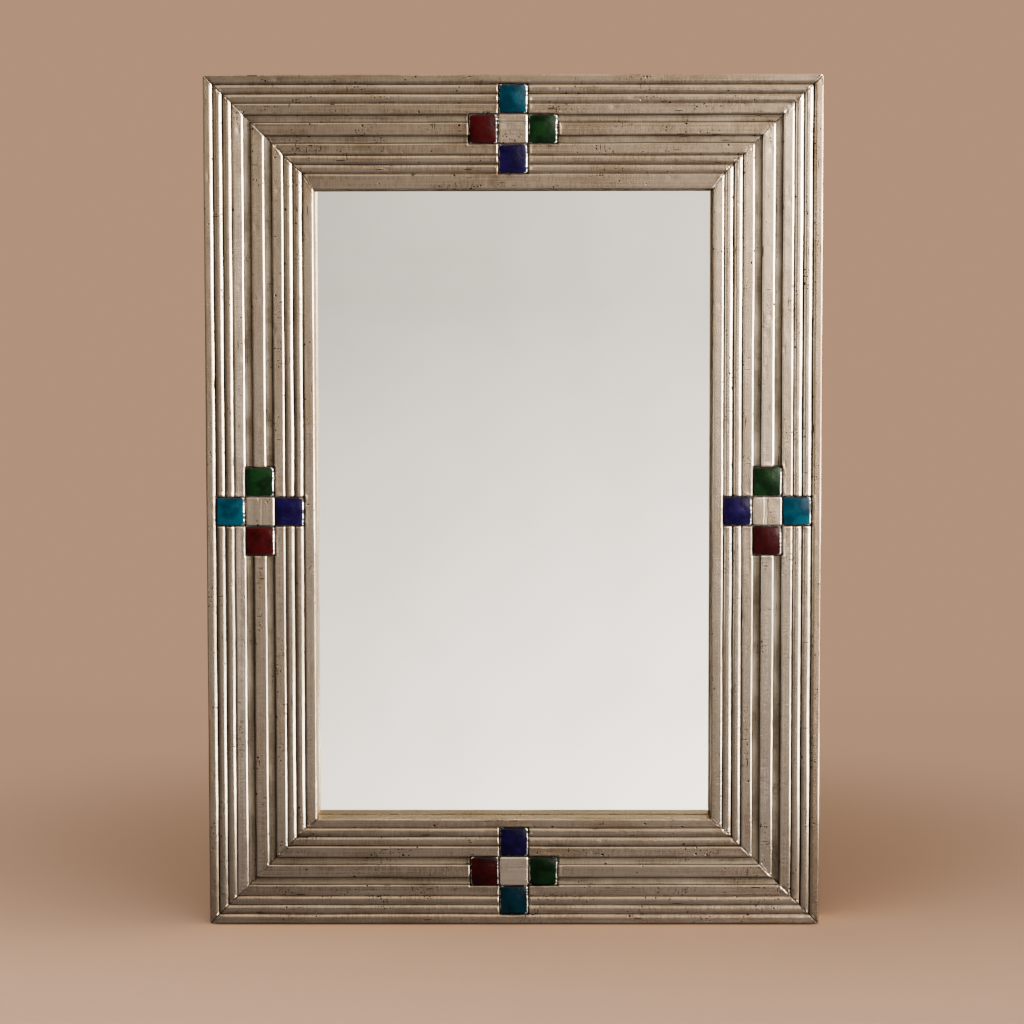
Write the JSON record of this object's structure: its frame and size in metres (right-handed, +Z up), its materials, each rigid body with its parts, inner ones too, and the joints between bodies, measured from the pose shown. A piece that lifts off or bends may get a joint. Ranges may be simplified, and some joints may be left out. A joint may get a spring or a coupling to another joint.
{
  "type": "accent mirror",
  "caption": "Upright rectangular accent mirror: deep mitred frame sheathed in ribbed aged tin, a cross of coloured glazed tiles on each side, set-back glass and back hangers.",
  "frame": {"origin": "middle of the bottom of the bounding box", "axes": "+Z up, +X to the right seen from the front, -Y the way the mirror faces"},
  "size_m": [0.66, 0.0492, 0.914],
  "materials": {
    "frame_wood": "bare sawn softwood",
    "aged_tin": "aged and burnished tin sheet with brown patina",
    "teal_glaze": "glossy",
    "cobalt_glaze": "glossy",
    "red_glaze": "glossy",
    "green_glaze": "glossy",
    "spline_plywood": "bare plywood",
    "tack_steel": "dulled",
    "mirror_silver": "silvered on the back",
    "cushion_card": "plain board",
    "panel_hardboard": "smooth brown hardboard",
    "zinc_steel": "zinc plated",
    "bumper_rubber": "matte"
  },
  "bodies": {
    "frame": {"top_rail_core": "frame_wood", "top_cladding": "aged_tin", "top_centre_plate": "aged_tin", "top_teal_tile": "teal_glaze", "top_cobalt_tile": "cobalt_glaze", "top_red_tile": "red_glaze", "top_green_tile": "green_glaze", "bottom_rail_core": "frame_wood", "bottom_cladding": "aged_tin", "bottom_centre_plate": "aged_tin", "bottom_teal_tile": "teal_glaze", "bottom_cobalt_tile": "cobalt_glaze", "bottom_red_tile": "red_glaze", "bottom_green_tile": "green_glaze", "left_stile_core": "frame_wood", "left_cladding": "aged_tin", "left_centre_plate": "aged_tin", "left_teal_tile": "teal_glaze", "left_cobalt_tile": "cobalt_glaze", "left_red_tile": "red_glaze", "left_green_tile": "green_glaze", "right_stile_core": "frame_wood", "right_cladding": "aged_tin", "right_centre_plate": "aged_tin", "right_teal_tile": "teal_glaze", "right_cobalt_tile": "cobalt_glaze", "right_red_tile": "red_glaze", "right_green_tile": "green_glaze", "top_left_spline": "spline_plywood", "top_right_spline": "spline_plywood", "bottom_left_spline": "spline_plywood", "bottom_right_spline": "spline_plywood", "cladding_tacks": "tack_steel", "mirror_glass": "mirror_silver", "cushion_board": "cushion_card", "back_panel": "panel_hardboard", "left_hanger_strap": "zinc_steel", "right_hanger_strap": "zinc_steel", "turn_button_screws": "zinc_steel", "hanger_screws": "zinc_steel", "left_bumper": "bumper_rubber", "right_bumper": "bumper_rubber"},
    "top_left_turn_button": {"top_left_turn_button": "zinc_steel"},
    "top_right_turn_button": {"top_right_turn_button": "zinc_steel"},
    "bottom_left_turn_button": {"bottom_left_turn_button": "zinc_steel"},
    "bottom_right_turn_button": {"bottom_right_turn_button": "zinc_steel"},
    "left_lower_turn_button": {"left_lower_turn_button": "zinc_steel"},
    "left_upper_turn_button": {"left_upper_turn_button": "zinc_steel"},
    "right_lower_turn_button": {"right_lower_turn_button": "zinc_steel"},
    "right_upper_turn_button": {"right_upper_turn_button": "zinc_steel"},
    "left_hanger_ring": {"left_hanger_ring": "zinc_steel"},
    "right_hanger_ring": {"right_hanger_ring": "zinc_steel"}
  },
  "joints": [
    {"name": "top_left_button_turn", "type": "hinge", "parent": "frame", "child": "top_left_turn_button", "pos_m": [-0.1065, 0.018, 0.8112], "axis": [0, 1, 0], "continuous": true},
    {"name": "top_right_button_turn", "type": "hinge", "parent": "frame", "child": "top_right_turn_button", "pos_m": [0.1065, 0.018, 0.8112], "axis": [0, 1, 0], "continuous": true},
    {"name": "bottom_left_button_turn", "type": "hinge", "parent": "frame", "child": "bottom_left_turn_button", "pos_m": [-0.1065, 0.018, 0.0956], "axis": [0, 1, 0], "continuous": true},
    {"name": "bottom_right_button_turn", "type": "hinge", "parent": "frame", "child": "bottom_right_turn_button", "pos_m": [0.1065, 0.018, 0.0956], "axis": [0, 1, 0], "continuous": true},
    {"name": "left_lower_button_turn", "type": "hinge", "parent": "frame", "child": "left_lower_turn_button", "pos_m": [-0.232, 0.018, 0.2876], "axis": [0, 1, 0], "continuous": true},
    {"name": "left_upper_button_turn", "type": "hinge", "parent": "frame", "child": "left_upper_turn_button", "pos_m": [-0.232, 0.018, 0.6264], "axis": [0, 1, 0], "continuous": true},
    {"name": "right_lower_button_turn", "type": "hinge", "parent": "frame", "child": "right_lower_turn_button", "pos_m": [0.232, 0.018, 0.2876], "axis": [0, 1, 0], "continuous": true},
    {"name": "right_upper_button_turn", "type": "hinge", "parent": "frame", "child": "right_upper_turn_button", "pos_m": [0.232, 0.018, 0.6264], "axis": [0, 1, 0], "continuous": true},
    {"name": "left_ring_swing", "type": "hinge", "parent": "frame", "child": "left_hanger_ring", "pos_m": [-0.27225, 0.0201, 0.65808], "axis": [1, 0, 0], "range_deg": [0, 180]},
    {"name": "right_ring_swing", "type": "hinge", "parent": "frame", "child": "right_hanger_ring", "pos_m": [0.27225, 0.0201, 0.65808], "axis": [1, 0, 0], "range_deg": [0, 180]}
  ]
}
